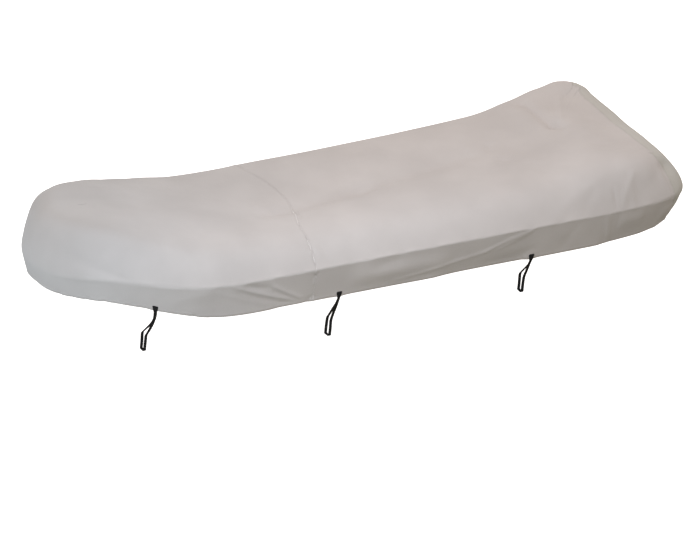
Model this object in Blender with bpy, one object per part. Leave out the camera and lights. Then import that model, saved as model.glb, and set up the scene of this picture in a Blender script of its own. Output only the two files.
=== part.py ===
"""Fitted cloth cover for an inflatable boat, as it hangs over the boat.

The cover is hollow and open underneath. +X runs aft from the stem, -Y is the port side, +Z is up.
The origin is the place under the cloth's top, amidships on the centre line, where the boat holds it.
Heights in the tables are measured from the level of the hem amidships.
"""
from collections import Counter, namedtuple

import bpy
import numpy as np

# Sizes, in metres.
CLOTH = 0.002            # thickness of the cloth
GAP = 0.0003             # between two sewn edges, and between cloth and webbing
HOLD_ALONG = 2.0         # the holding place, aft of the stem
SEAM_SKEW = 0.045        # how far the cross seam's ends lie forward to port and aft to starboard
PORT, BOTH, STARBOARD = -1, 0, 1

WEBBING = 0.0015         # thickness of the tie webbing
WEBBING_WIDE = 0.020
TAB = 2 * WEBBING + GAP  # thickness of a tab, which takes both ends of its strap
TAB_OUTLINE = (          # (along, up from the hem) of a tab's corners
    (-0.011, -0.005), (0.011, -0.005), (0.018, 0.032), (0.013, 0.038), (-0.013, 0.038), (-0.018, 0.032))
TAB_COLUMNS = 0.023      # from the middle of a tab to the columns of cloth beside it
RAIL_HIGH, RAIL_WIDE = 0.100, 0.050   # the rail that a strap loops round, which is left out

# The edge of the top, half of it, from the stem round the side to the middle of the stern.
# along, half: the crease, aft of the stem and out from the centre line.
# crease: its height. drop: from the crease down to the hem. tuck: how far in the hem lies.
# roll, rise: from the crease in and up to the crest of the tube, or the stern ridge.
# spine: where the cloth from this place meets the centre line, aft of the stem.
# steps: columns of faces from this place to the next.
Place = namedtuple("Place", "name along half crease drop tuck roll rise spine steps")
PLACES = (
    Place("stem", 0.000, 0.000, 0.310, 0.140, 0.060, 0.125, 0.265, 0.420, 2),
    Place("bow face", 0.040, 0.150, 0.298, 0.148, 0.060, 0.125, 0.278, 0.480, 3),
    Place("bow cheek", 0.140, 0.310, 0.286, 0.156, 0.055, 0.135, 0.285, 0.580, 3),
    Place("shoulder", 0.290, 0.455, 0.288, 0.172, 0.055, 0.155, 0.268, 0.700, 3),
    Place("bow quarter", 0.470, 0.565, 0.264, 0.176, 0.060, 0.175, 0.251, 0.840, 4),
    Place("bow flank", 0.680, 0.655, 0.234, 0.190, 0.060, 0.190, 0.230, 1.000, 4),
    Place("bow side", 0.910, 0.705, 0.211, 0.208, 0.060, 0.200, 0.207, 1.190, 6),
    Place("fore side", 1.190, 0.720, 0.205, 0.214, 0.060, 0.200, 0.179, 1.420, 8),
    Place("cross seam", 1.595, 0.720, 0.206, 0.219, 0.060, 0.200, 0.163, 1.695, 16),
    Place("amidships", 2.430, 0.720, 0.207, 0.220, 0.060, 0.200, 0.158, 2.470, 15),
    Place("aft side", 3.160, 0.720, 0.205, 0.216, 0.060, 0.195, 0.176, 3.050, 5),
    Place("rise", 3.400, 0.720, 0.203, 0.212, 0.060, 0.190, 0.232, 3.180, 6),
    Place("stern quarter", 3.670, 0.713, 0.205, 0.208, 0.060, 0.175, 0.284, 3.350, 6),
    Place("corner", 3.910, 0.675, 0.215, 0.195, 0.080, 0.165, 0.255, 3.500, 3),
    Place("corner aft", 4.010, 0.580, 0.225, 0.185, 0.100, 0.160, 0.235, 3.580, 7),
    Place("stern", 4.035, 0.000, 0.225, 0.180, 0.110, 0.160, 0.235, 3.620, 0),
)

# The centre line of the top: height of the cloth, aft of the stem.
Height = namedtuple("Height", "along height")
CENTRE = (
    Height(0.20, 0.565),
    Height(0.50, 0.535),
    Height(0.80, 0.470),
    Height(1.20, 0.395),
    Height(1.75, 0.348),
    Height(2.55, 0.338),
    Height(3.15, 0.352),
    Height(3.45, 0.405),
    Height(3.70, 0.447),
    Height(3.90, 0.462),
)

BAND_ROWS = 4            # hem to crease
TUBE_ROWS = 4            # crease to crest
TOP_ROWS = 5             # crest to centre line
CREST_ROW = BAND_ROWS + TUBE_ROWS
MIDDLE = BAND_ROWS + TUBE_ROWS + TOP_ROWS      # the row on the centre line
TUBE_ROUND = 1.9         # 1 is a straight slope from crease to crest, 2 a parabola
GIRTH_AT_ROW = np.interp(np.arange(MIDDLE + 1), (0, BAND_ROWS, CREST_ROW, MIDDLE), (0, 0.228, 0.48, 1.0))

# Soft ridges, and troughs where lift is negative. Each runs from an end a to an end b: run is the
# length along the crease from the stem, girth the length of cloth up from the hem.
# arch: how far its middle lies above the straight line. wide: from its middle to its foot, about.
Fold = namedtuple("Fold", "side run_a girth_a run_b girth_b arch lift wide")
FOLDS = (
    # the port band, drawn towards the middle tie
    Fold(PORT, 1.33, 0.260, 1.90, -0.040, -0.017, 0.009, 0.032),
    Fold(PORT, 1.45, 0.235, 1.92, -0.010, -0.015, -0.007, 0.030),
    Fold(PORT, 1.55, 0.215, 1.93, 0.010, -0.015, 0.006, 0.028),
    Fold(PORT, 2.13, 0.050, 2.42, 0.215, 0.010, -0.004, 0.040),
    # the port band, one long slant towards the aft tie
    Fold(PORT, 2.33, -0.035, 3.36, 0.250, -0.013, 0.008, 0.030),
    Fold(PORT, 2.40, -0.060, 3.40, 0.200, -0.013, -0.007, 0.030),
    Fold(PORT, 2.98, 0.080, 3.32, 0.185, 0.004, 0.005, 0.026),
    # the port bow, where the strake under the cloth fades out
    Fold(PORT, 0.18, 0.350, 0.98, 0.240, -0.010, -0.007, 0.035),
    Fold(PORT, 0.92, 0.060, 1.25, 0.215, 0.010, 0.004, 0.035),
    # the port stern quarter
    Fold(PORT, 3.80, 0.240, 3.88, 0.400, 0.000, -0.006, 0.032),
    Fold(PORT, 3.89, 0.235, 4.02, 0.390, 0.000, 0.005, 0.032),
    Fold(PORT, 3.86, -0.040, 3.98, 0.240, 0.000, 0.006, 0.045),
    # the starboard band and quarters
    Fold(STARBOARD, 1.20, 0.250, 1.88, -0.040, -0.020, 0.008, 0.032),
    Fold(STARBOARD, 1.38, 0.240, 1.93, -0.010, -0.015, -0.006, 0.030),
    Fold(STARBOARD, 2.16, 0.010, 2.70, 0.230, 0.012, 0.006, 0.034),
    Fold(STARBOARD, 2.72, -0.030, 3.22, 0.235, -0.010, 0.007, 0.032),
    Fold(STARBOARD, 3.40, 0.200, 3.86, -0.030, -0.012, 0.006, 0.036),
    Fold(STARBOARD, 0.25, 0.330, 1.05, 0.240, -0.008, -0.006, 0.035),
    Fold(STARBOARD, 3.70, 0.440, 4.25, 0.720, 0.020, -0.008, 0.045),
    # the slack top
    Fold(BOTH, 1.86, 0.560, 2.30, 0.960, 0.000, -0.005, 0.120),
    Fold(PORT, 2.62, 0.520, 2.98, 0.880, 0.030, 0.005, 0.090),
    Fold(STARBOARD, 2.42, 0.540, 2.74, 0.900, -0.020, 0.006, 0.080),
    Fold(BOTH, 3.10, 0.620, 3.50, 0.980, 0.000, -0.006, 0.130),
)

# Ties, the same on both sides. run: along the crease from the stem. split: below the hem, where the
# strap's two ends part. rail: height of the rail's top. lean: of the loop's foot towards the bow.
Tie = namedtuple("Tie", "run split rail lean")
TIES = (
    Tie(0.864, 0.070, -0.127, 0.022),
    Tie(2.070, 0.064, -0.192, 0.030),
    Tie(3.284, 0.052, -0.151, 0.026),
)


def monotone(knots, values, at):
    """Smooth curve through the values, without overshoot, read at one place."""
    steps = np.diff(knots)
    slopes = np.diff(values) / steps
    tangents = np.zeros(len(values))
    for i in range(1, len(values) - 1):
        if slopes[i - 1] * slopes[i] > 0:
            before, after = 2 * steps[i] + steps[i - 1], steps[i] + 2 * steps[i - 1]
            tangents[i] = (before + after) / (before / slopes[i - 1] + after / slopes[i])
    tangents[0], tangents[-1] = slopes[0], slopes[-1]
    i = int(np.clip(np.searchsorted(knots, at) - 1, 0, len(steps) - 1))
    f = (at - knots[i]) / steps[i]
    return (values[i] * (1 + 2 * f) * (1 - f) ** 2 + tangents[i] * steps[i] * f * (1 - f) ** 2
            + values[i + 1] * f * f * (3 - 2 * f) + tangents[i + 1] * steps[i] * f * f * (f - 1))


def edge_tables():
    """Columns of PLACES with one mirrored row before and after, against the run along the crease."""
    first, last = PLACES[1], PLACES[-2]
    rows = [first._replace(half=-first.half), *PLACES, last._replace(half=-last.half)]
    plan = np.array([(row.along, row.half) for row in rows])
    knots = np.concatenate([[0.0], np.cumsum(np.linalg.norm(np.diff(plan, axis=0), axis=1))])
    columns = {name: np.array([getattr(row, name) for row in rows]) for name in Place._fields[1:-1]}
    return knots - knots[1], columns


EDGE_KNOTS, EDGE = edge_tables()
RUN_OF = {place.name: run for place, run in zip(PLACES, EDGE_KNOTS[1:])}


def edge(column, run):
    return monotone(EDGE_KNOTS, EDGE[column], run)


def column_runs():
    """Runs along the crease where the columns of faces stand, with a pair beside each tie."""
    runs = [RUN_OF["stern"]]
    for place, after in zip(PLACES, PLACES[1:]):
        start, end = RUN_OF[place.name], RUN_OF[after.name]
        runs += [start + (end - start) * step / place.steps for step in range(place.steps)]
    for tie in TIES:
        runs = [run for run in runs if abs(run - tie.run) > 1.6 * TAB_COLUMNS]
        runs += [tie.run - TAB_COLUMNS, tie.run + TAB_COLUMNS]
    return np.array(sorted(runs))


def plan_inward(run):
    """The level direction from the crease straight into the cover."""
    ahead, behind = [np.array([edge("along", at), edge("half", at)]) for at in (run + 0.004, run - 0.004)]
    level = (ahead - behind) / np.linalg.norm(ahead - behind)
    return np.array([level[1], -level[0]])


def profile(run):
    """Points (along, out, height) of one column of the cloth's outer face, hem to centre line."""
    crease = np.array([edge("along", run), edge("half", run)])
    inward, height = plan_inward(run), edge("crease", run)
    points = []
    for row in range(BAND_ROWS):
        f = 1 - row / BAND_ROWS
        points.append((*(crease + inward * edge("tuck", run) * f), height - edge("drop", run) * f))
    for row in range(TUBE_ROWS + 1):
        f = row / TUBE_ROWS
        points.append((*(crease + inward * edge("roll", run) * f),
                       height + edge("rise", run) * (1 - (1 - f) ** TUBE_ROUND)))
    crest = np.array(points[-1])
    spine = edge("spine", run)
    centre = monotone([c.along for c in CENTRE], [c.height for c in CENTRE], spine)
    for row in range(1, TOP_ROWS + 1):
        f = row / TOP_ROWS
        points.append((crest[0] + (spine - crest[0]) * f * (2 - f), crest[1] * (1 - f),
                       crest[2] + (centre - crest[2]) * f * f * (3 - 2 * f)))
    return np.array(points)


def fold_lift(side, runs):
    """How far the folds lift one side's cloth, for every column and row."""
    run, girth = runs[:, None], GIRTH_AT_ROW[None, :]
    lift = np.zeros((len(runs), len(GIRTH_AT_ROW)))
    for fold in FOLDS:
        if fold.side in (side, BOTH):
            span = np.array([fold.run_b - fold.run_a, fold.girth_b - fold.girth_a])
            f = ((run - fold.run_a) * span[0] + (girth - fold.girth_a) * span[1]) / (span @ span)
            f = np.clip(f, 0, 1)
            off_run = run - fold.run_a - span[0] * f
            off_girth = girth - fold.girth_a - span[1] * f - fold.arch * 4 * f * (1 - f)
            away = np.hypot(off_run, off_girth) / fold.wide
            lift += fold.lift * np.exp(-away ** 2) * (1 - (2 * f - 1) ** 4)
    for tie in TIES:
        lift *= 1 - np.exp(-(np.hypot(run - tie.run, girth - 0.02) / 0.065) ** 4)
    return lift


class Surface:
    """The whole outer face: columns from stem to stern, rows from the port hem over to starboard.

    The first and last columns lie on the centre line, so their two halves share their points.
    """

    def __init__(self):
        self.runs = column_runs()
        half = np.array([profile(run) for run in self.runs])
        rows = 2 * MIDDLE
        grid = np.concatenate([half * [1, -1, 1], half[:, MIDDLE - 1::-1]], axis=1)
        by_seam = np.exp(-((self.runs - RUN_OF["cross seam"]) / 0.45) ** 2)
        grid[..., 0] += SEAM_SKEW * by_seam[:, None] * grid[..., 1] / EDGE["half"].max()
        self.number = np.arange(grid.shape[0] * (rows + 1)).reshape(grid.shape[0], rows + 1)
        for column in (0, -1):
            self.number[column, MIDDLE + 1:] = self.number[column, MIDDLE - 1::-1]
        self.points = grid.reshape(-1, 3)
        lift = np.concatenate([fold_lift(PORT, self.runs),
                               fold_lift(STARBOARD, self.runs)[:, MIDDLE - 1::-1]], axis=1)
        lift[[0, -1]] = 0
        self.points += self.normals()[0] * lift.reshape(-1, 1)
        normals, evened = self.normals()
        self.inner = self.points - normals * CLOTH / evened[:, None]

    def quads(self):
        """Corner numbers of every quad, seen from outside, by (column, row)."""
        n = self.number
        corners = np.stack([n[:-1, :-1], n[1:, :-1], n[1:, 1:], n[:-1, 1:]], axis=-1)
        return {(i, j): tuple(int(v) for v in corners[i, j])
                for i in range(corners.shape[0]) for j in range(corners.shape[1])}

    def triangles(self, quad):
        """A quad cut along its shorter diagonal, or from an end of the centre line."""
        a, b, c, d = quad
        ends = {self.number[0, MIDDLE], self.number[-1, MIDDLE]}
        shorter = (np.linalg.norm(self.points[a] - self.points[c])
                   <= np.linalg.norm(self.points[b] - self.points[d]))
        if ends & {a, c} or (shorter and not ends & {b, d}):
            return (a, b, c), (a, c, d)
        return (a, b, d), (b, c, d)

    def normals(self):
        """Unit normal at every point, and how well the faces round it agree with it."""
        total, area = np.zeros_like(self.points), np.zeros(len(self.points))
        faces = np.array([tri for quad in self.quads().values() for tri in self.triangles(quad)])
        a, b, c = [self.points[faces[:, k]] for k in range(3)]
        across = np.cross(b - a, c - a)
        for k in range(3):
            np.add.at(total, faces[:, k], across)
            np.add.at(area, faces[:, k], np.linalg.norm(across, axis=1))
        length = np.maximum(np.linalg.norm(total, axis=1), 1e-12)
        return total / length[:, None], np.where(area > 0, length / np.maximum(area, 1e-12), 1)


def edges_of(quads):
    """Every edge of the quads with the quad it belongs to, and how many quads share each."""
    edges = [(quad[k], quad[(k + 1) % 4], quad) for quad in quads for k in range(4)]
    return edges, Counter(frozenset(edge[:2]) for edge in edges)


def seam_pull(surface, own, whole_edges):
    """Half of the sewing gap, at each point of a panel's seams, into the panel."""
    edges, shared = edges_of(own)
    pulls = {}
    for a, b, quad in edges:
        if shared[frozenset((a, b))] == 1 and whole_edges[frozenset((a, b))] == 2:
            line = surface.points[b] - surface.points[a]
            line /= np.linalg.norm(line)
            inside = surface.points[list(quad)].mean(axis=0) - surface.points[a]
            inside -= line * (inside @ line)
            inside /= np.linalg.norm(inside)
            for end in (a, b):
                pulls.setdefault(end, []).append(inside)
    joined = {}
    for end, parts in pulls.items():
        joined[end] = GAP / 2 * (parts[0] if len(parts) == 1 else
                                 (parts[0] + parts[1]) / (1 + parts[0] @ parts[1]))
    return joined


def add_solid(name, points, faces, material, shift):
    mesh = bpy.data.meshes.new(name)
    mesh.from_pydata([tuple(float(v) for v in point - shift) for point in points], [], faces)
    mesh.materials.append(material)
    mesh.validate()
    item = bpy.data.objects.new(name, mesh)
    bpy.context.scene.collection.objects.link(item)


def add_panel(name, surface, own, whole_edges, material, shift):
    """One panel of cloth: its quads on the outer face, the same inside, and a rim round its edge."""
    used = sorted({corner for quad in own for corner in quad})
    place = {corner: number for number, corner in enumerate(used)}
    pull = seam_pull(surface, own, whole_edges)
    moved = np.array([pull.get(corner, np.zeros(3)) for corner in used])
    points = np.concatenate([surface.points[used] + moved, surface.inner[used] + moved])
    below = len(used)
    faces = []
    for quad in own:
        for a, b, c in surface.triangles(quad):
            faces.append((place[a], place[b], place[c]))
            faces.append((place[c] + below, place[b] + below, place[a] + below))
    edges, shared = edges_of(own)
    for a, b, _ in edges:
        if shared[frozenset((a, b))] == 1:
            faces.append((place[b], place[a], place[a] + below))
            faces.append((place[b], place[a] + below, place[b] + below))
    add_solid(name, points, faces, material, shift)


def tie_frame(surface, side, tie):
    """Where a tab lies: the middle of the hem there, and the directions level, up the cloth and out."""
    column = int(np.searchsorted(surface.runs, tie.run)) - 1
    hem_row, next_row = (0, 1) if side == PORT else (-1, -2)
    corners = surface.points[surface.number[[column, column + 1, column, column + 1],
                                            [hem_row, hem_row, next_row, next_row]]]
    near, far, high_near, high_far = corners
    out = np.cross(far - near, high_near + high_far - near - far) * -side
    out /= np.linalg.norm(out)
    level = np.cross([0, 0, 1], out) * -side
    level /= np.linalg.norm(level)
    up = np.cross(out, level) * -side
    hem = (near + far) / 2
    return hem + out * (max((corners - hem) @ out) + GAP), level, up, out


def add_tab(name, frame, material, shift):
    hem, level, up, out = frame
    ring = [hem + level * a + up * u for a, u in TAB_OUTLINE]
    points = np.array(ring + [point + out * TAB for point in ring])
    count = len(ring)
    faces = [tuple(range(count)), tuple(range(2 * count - 1, count - 1, -1))]
    faces += [((k + 1) % count, k, k + count, (k + 1) % count + count) for k in range(count)]
    if np.cross(level, up) @ out > 0:
        faces = [face[::-1] for face in faces]
    add_solid(name, points, faces, material, shift)


def rounded(corners, radii):
    """A path with each inner corner replaced by a short curve that reaches a radius back each way."""
    path = [corners[0]]
    for before, corner, after, radius in zip(corners, corners[1:], corners[2:], radii):
        start = corner + (before - corner) * radius / np.linalg.norm(before - corner)
        end = corner + (after - corner) * radius / np.linalg.norm(after - corner)
        path += [start * (1 - f) ** 2 + corner * 2 * f * (1 - f) + end * f * f for f in (0, 0.35, 0.65, 1)]
    return np.array(path + [corners[-1]])


def strap_path(frame, tie):
    """Middle line of a strap's thickness, as (out, up) from the hem: down, round the rail and back."""
    hem, _, up, out = frame
    level_out = np.array([out[0], out[1], 0]) / np.hypot(out[0], out[1])
    down = -np.array([up @ level_out, up[2]])
    off = np.array([out @ level_out, out[2]])
    top = down * (-TAB_OUTLINE[0][1] + GAP)
    front, rear = off * (TAB - WEBBING / 2), off * WEBBING / 2
    rail_top = tie.rail - hem[2]
    outer_top = top + front + down * (rail_top - (top + front)[1]) / down[1]
    outer_foot = outer_top - [0, RAIL_HIGH]
    inner_foot = outer_foot - [RAIL_WIDE, 0]
    inner_top = outer_top - [RAIL_WIDE, 0]
    parting = top + down * tie.split
    corners = [top + front, parting + front, outer_top, outer_foot, inner_foot, inner_top,
               parting + rear, top + rear]
    return rounded(corners, (0.012, 0.012, 0.008, 0.008, 0.012, 0.012)), level_out


def add_strap(name, frame, side, tie, material, shift):
    """One ribbon of webbing, swept along its path, turning from the tab to lie square on the rail."""
    hem, level = frame[0], frame[1]
    path, level_out = strap_path(frame, tie)
    lines = np.diff(path, axis=0)
    lines /= np.linalg.norm(lines, axis=1)[:, None]
    turned = np.stack([-lines[:, 1], lines[:, 0]], axis=1)
    before, after = turned[[0, *range(len(turned))]], turned[[*range(len(turned)), -1]]
    across = (before + after) / (1 + np.sum(before * after, axis=1))[:, None]
    depth = path[0, 1] - path[:, 1]
    square = np.clip(depth / (path[0, 1] - tie.rail + hem[2]), 0, 1)
    points = []
    for spot, turn, low, share in zip(path, across, depth, square):
        wide_way = level * (1 - share) + np.array([1, 0, 0]) * share
        out_way = level_out * (1 - share) + np.array([0, side, 0]) * share
        wide_way, out_way = wide_way / np.linalg.norm(wide_way), out_way / np.linalg.norm(out_way)
        sway = np.array([-tie.lean * low / depth.max(), 0, 0])
        for thick, wide in ((-1, -1), (1, -1), (1, 1), (-1, 1)):
            flat = spot + turn * thick * WEBBING / 2
            points.append(hem + sway + out_way * flat[0] + np.array([0, 0, flat[1]])
                          + wide_way * wide * WEBBING_WIDE / 2)
    last = 4 * (len(path) - 1)
    faces = [(0, 1, 2, 3), (last + 3, last + 2, last + 1, last)]
    for start in range(0, last, 4):
        faces += [(start + k, start + 4 + k, start + 4 + (k + 1) % 4, start + (k + 1) % 4)
                  for k in range(4)]
    if np.cross(points[1] - points[0], points[3] - points[0]) @ (points[4] - points[0]) > 0:
        faces = [face[::-1] for face in faces]
    add_solid(name, np.array(points), faces, material, shift)


def new_material(name, colour, roughness):
    material = bpy.data.materials.new(name)
    material.use_nodes = True
    shader = material.node_tree.nodes["Principled BSDF"]
    shader.inputs["Base Color"].default_value = (*colour, 1)
    shader.inputs["Roughness"].default_value = roughness
    return material


def hold_point(surface):
    """The point on the cloth's under face that is the origin."""
    line = surface.inner[surface.number[:, MIDDLE]]
    return np.array([HOLD_ALONG, 0, np.interp(HOLD_ALONG, line[:, 0], line[:, 2])])


def main():
    for item in list(bpy.data.objects):
        bpy.data.objects.remove(item, do_unlink=True)
    surface = Surface()
    shift = hold_point(surface)
    quads = surface.quads()
    seam, corner = [int(np.argmin(abs(surface.runs - RUN_OF[name]))) for name in ("cross seam", "corner")]
    panels = {"bow_panel": [], "main_panel": [], "stern_panel": []}
    for (i, j), quad in quads.items():
        on_top = CREST_ROW <= j < 2 * MIDDLE - CREST_ROW
        name = "bow_panel" if i < seam else "main_panel" if i < corner or on_top else "stern_panel"
        panels[name].append(quad)
    whole_edges = edges_of(quads.values())[1]
    cloth = {"bow_panel": (0.51, 0.50, 0.50), "main_panel": (0.55, 0.50, 0.48),
             "stern_panel": (0.50, 0.50, 0.46)}
    for name, own in panels.items():
        add_panel(name, surface, own, whole_edges, new_material(f"cloth_{name}", cloth[name], 0.9), shift)
    webbing = new_material("black_webbing", (0.02, 0.02, 0.02), 0.8)
    for side, word in ((PORT, "port"), (STARBOARD, "starboard")):
        for number, tie in enumerate(TIES, 1):
            frame = tie_frame(surface, side, tie)
            add_tab(f"tie_tab_{word}_{number}", frame, webbing, shift)
            add_strap(f"tie_strap_{word}_{number}", frame, side, tie, webbing, shift)


if __name__ == "__main__":
    main()
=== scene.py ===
"""The look of a cloth boat cover: three sewn panels of coated canvas, their stitching and its ties.

Metres. +X runs aft, -Y is the port side, +Z is up. The origin is where the covered boat holds the top.
"""
import math
from collections import namedtuple

import bpy
import numpy as np
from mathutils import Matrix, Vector, noise


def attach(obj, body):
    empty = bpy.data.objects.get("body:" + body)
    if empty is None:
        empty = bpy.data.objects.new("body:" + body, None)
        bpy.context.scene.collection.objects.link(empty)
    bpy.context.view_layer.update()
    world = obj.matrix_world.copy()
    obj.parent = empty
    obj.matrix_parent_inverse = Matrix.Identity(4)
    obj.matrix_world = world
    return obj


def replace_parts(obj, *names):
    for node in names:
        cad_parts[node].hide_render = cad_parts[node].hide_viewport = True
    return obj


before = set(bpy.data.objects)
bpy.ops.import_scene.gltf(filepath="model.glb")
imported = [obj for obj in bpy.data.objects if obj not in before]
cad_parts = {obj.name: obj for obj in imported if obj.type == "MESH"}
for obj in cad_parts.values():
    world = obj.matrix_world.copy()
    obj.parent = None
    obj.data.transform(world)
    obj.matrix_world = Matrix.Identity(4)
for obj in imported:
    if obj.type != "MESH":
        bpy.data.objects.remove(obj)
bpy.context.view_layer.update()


# ---- The cut of the cover ----
# The canvas is cut to an inflatable boat. A flat band hangs from a crease round the edge, and above
# the crease the cloth rolls over the tubes and lies slack between them. Port and starboard are one
# cut. In the tables, lengths are aft of the stem and heights above the hem amidships.
HOLD_AFT, HOLD_HIGH = 2.0, 0.3405        # the origin, from the stem and from the hem amidships
PORT, STARBOARD = -1, 1
SIDES = (PORT, STARBOARD)

# along, half: the crease, aft of the stem and out from the centre line. crease: its height.
# drop, tuck: from the crease down and in to the hem. roll, rise: in and up to the crest of the tube.
# spine: where the cloth from here meets the centre line. soft: how far the crease's rounding reaches.
Place = namedtuple("Place", "name along half crease drop tuck roll rise spine soft")
PLACES = [Place(*row) for row in (
    ("stem", 0.014, 0.000, 0.310, 0.148, 0.038, 0.205, 0.257, 0.420, 0.045),
    ("bow face", 0.052, 0.150, 0.298, 0.168, 0.040, 0.205, 0.270, 0.480, 0.045),
    ("bow cheek", 0.142, 0.310, 0.286, 0.165, 0.045, 0.200, 0.283, 0.580, 0.036),
    ("shoulder", 0.290, 0.455, 0.288, 0.172, 0.055, 0.190, 0.270, 0.700, 0.030),
    ("bow quarter", 0.470, 0.565, 0.264, 0.176, 0.060, 0.220, 0.256, 0.840, 0.024),
    ("bow flank", 0.680, 0.655, 0.234, 0.195, 0.060, 0.265, 0.238, 1.000, 0.014),
    ("bow side", 0.910, 0.705, 0.211, 0.215, 0.060, 0.290, 0.219, 1.190, 0.010),
    ("fore side", 1.190, 0.720, 0.205, 0.220, 0.060, 0.295, 0.187, 1.420, 0.008),
    ("cross seam", 1.595, 0.720, 0.206, 0.223, 0.060, 0.320, 0.178, 1.695, 0.009),
    ("amidships", 2.430, 0.720, 0.207, 0.226, 0.060, 0.355, 0.190, 2.470, 0.007),
    ("aft side", 3.160, 0.720, 0.205, 0.222, 0.060, 0.310, 0.210, 3.050, 0.006),
    ("rise", 3.400, 0.720, 0.203, 0.218, 0.060, 0.265, 0.241, 3.180, 0.006),
    ("stern quarter", 3.670, 0.713, 0.205, 0.210, 0.060, 0.215, 0.266, 3.350, 0.007),
    ("corner", 3.910, 0.675, 0.215, 0.181, 0.086, 0.195, 0.239, 3.500, 0.014),
    ("corner aft", 4.010, 0.580, 0.225, 0.160, 0.108, 0.180, 0.224, 3.580, 0.025),
    ("stern", 4.035, 0.000, 0.225, 0.180, 0.110, 0.195, 0.217, 3.620, 0.028),
)]

# The cloth on the centre line: each place along it, and the height there.
CENTRE_ALONG, CENTRE_HIGH = zip(
    (0.20, 0.576),
    (0.50, 0.552),
    (0.80, 0.484),
    (1.20, 0.416),
    (1.75, 0.352),
    (2.55, 0.365),
    (3.15, 0.387),
    (3.45, 0.442),
    (3.70, 0.475),
    (3.90, 0.483),
)
TUBE_ROUND = 3.0         # 1 is a straight slope from crease to crest, 2 a parabola
TUBE_SLACK = 1.1         # length of the cloth over the tube against the straight line
HALF_GIRTH = 1.0         # cloth from the hem to the centre line
SEAM_SKEW = 0.045        # how far the cross seam's ends lie forward to port and aft to starboard
SKEW_REACH = 0.45        # how far along the crease the cloth shares that skew
CREASE_SPAN = 0.004      # the crease is straight over this length each way
CORNER_SPAN = 0.17       # and the roll's direction is taken over this length at the stern corners


def lengths_along(points):
    """Length of a line of points from its start to each of them."""
    steps = np.linalg.norm(np.diff(points, axis=-2), axis=-1)
    return np.concatenate([np.zeros((*steps.shape[:-1], 1)), np.cumsum(steps, axis=-1)], axis=-1)


def smooth_through(knots, values, at):
    """Smooth curve through the values, without overshoot, read at many places."""
    knots, values = np.asarray(knots, float), np.asarray(values, float)
    steps = np.diff(knots)
    slopes = np.diff(values) / steps
    tangents = np.zeros(len(values))
    for i in range(1, len(values) - 1):
        if slopes[i - 1] * slopes[i] > 0:
            before, after = 2 * steps[i] + steps[i - 1], steps[i] + 2 * steps[i - 1]
            tangents[i] = (before + after) / (before / slopes[i - 1] + after / slopes[i])
    tangents[0], tangents[-1] = slopes[0], slopes[-1]
    i = np.clip(np.searchsorted(knots, at) - 1, 0, len(steps) - 1)
    f = (at - knots[i]) / steps[i]
    return (values[i] * (1 + 2 * f) * (1 - f) ** 2 + tangents[i] * steps[i] * f * (1 - f) ** 2
            + values[i + 1] * f * f * (3 - 2 * f) + tangents[i + 1] * steps[i] * f * f * (f - 1))


def edge_tables():
    """Columns of PLACES with one mirrored row before and after, against the run along the crease."""
    first, last = PLACES[1], PLACES[-2]
    rows = [first._replace(half=-first.half), *PLACES, last._replace(half=-last.half)]
    plan = np.array([(row.along, row.half) for row in rows])
    knots = lengths_along(plan)
    columns = {name: np.array([getattr(row, name) for row in rows]) for name in Place._fields[1:]}
    return knots - knots[1], columns


EDGE_KNOTS, EDGE = edge_tables()
RUN_OF = {place.name: run for place, run in zip(PLACES, EDGE_KNOTS[1:])}
CROSS_RUN, CORNER_RUN, END_RUN = RUN_OF["cross seam"], RUN_OF["corner"], RUN_OF["stern"]


def edge(column, run):
    return smooth_through(EDGE_KNOTS, EDGE[column], run)


def inward(run, span):
    """Level direction square to the crease, which is taken as straight over twice the span."""
    line = [edge(column, run + span) - edge(column, run - span) for column in ("along", "half")]
    return np.stack([line[1], -line[0]]) / np.hypot(*line)


def sharp_cut(run, row):
    """Places (along, out, height) on one side. Row 0: hem, 1: crease, 2: crest, 3: centre line."""
    hang, over, across = np.maximum(1 - row, 0), np.clip(row - 1, 0, 1), np.clip(row - 2, 0, 1)
    under = inward(run, CREASE_SPAN)
    roll = inward(run, np.interp(run, (3.3, 3.9), (CREASE_SPAN, CORNER_SPAN)))
    reach = under * edge("tuck", run) * hang + roll * edge("roll", run) * over
    along, out = edge("along", run) + reach[0], edge("half", run) + reach[1]
    height = (edge("crease", run) - edge("drop", run) * hang
              + edge("rise", run) * (1 - (1 - over) ** TUBE_ROUND))
    spine = edge("spine", run)
    centre = smooth_through(CENTRE_ALONG, CENTRE_HIGH, spine)
    along = along + (spine - along) * across * (2 - across)
    height = height + (centre - height) * across ** 2 * (3 - 2 * across)
    return np.stack([along, out * (1 - across), height], axis=-1)


def band_length(run):
    return np.hypot(edge("drop", run), edge("tuck", run))


def tube_length(run):
    return TUBE_SLACK * np.hypot(edge("roll", run), edge("rise", run))


def top_length(run):
    return HALF_GIRTH - band_length(run) - tube_length(run)


def girth_at(run, row):
    """Length of cloth from the hem up to a row."""
    return (band_length(run) * np.minimum(row, 1) + tube_length(run) * np.clip(row - 1, 0, 1)
            + top_length(run) * np.maximum(row - 2, 0))


def smooth_cut(run, row):
    """The same with the crease rounded, softly at the bow and crisply aft."""
    soft = edge("soft", run)
    below, above = 1 - soft / band_length(run), 1 + soft / tube_length(run)
    f = np.clip((row - below) / (above - below), 0, 1)[..., None]
    bend = (sharp_cut(run, below) * (1 - f) ** 2 + sharp_cut(run, np.ones_like(run)) * 2 * f * (1 - f)
            + sharp_cut(run, above) * f * f)
    inside = ((row > below) & (row < above))[..., None]
    return np.where(inside, bend, sharp_cut(run, row))


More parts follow.
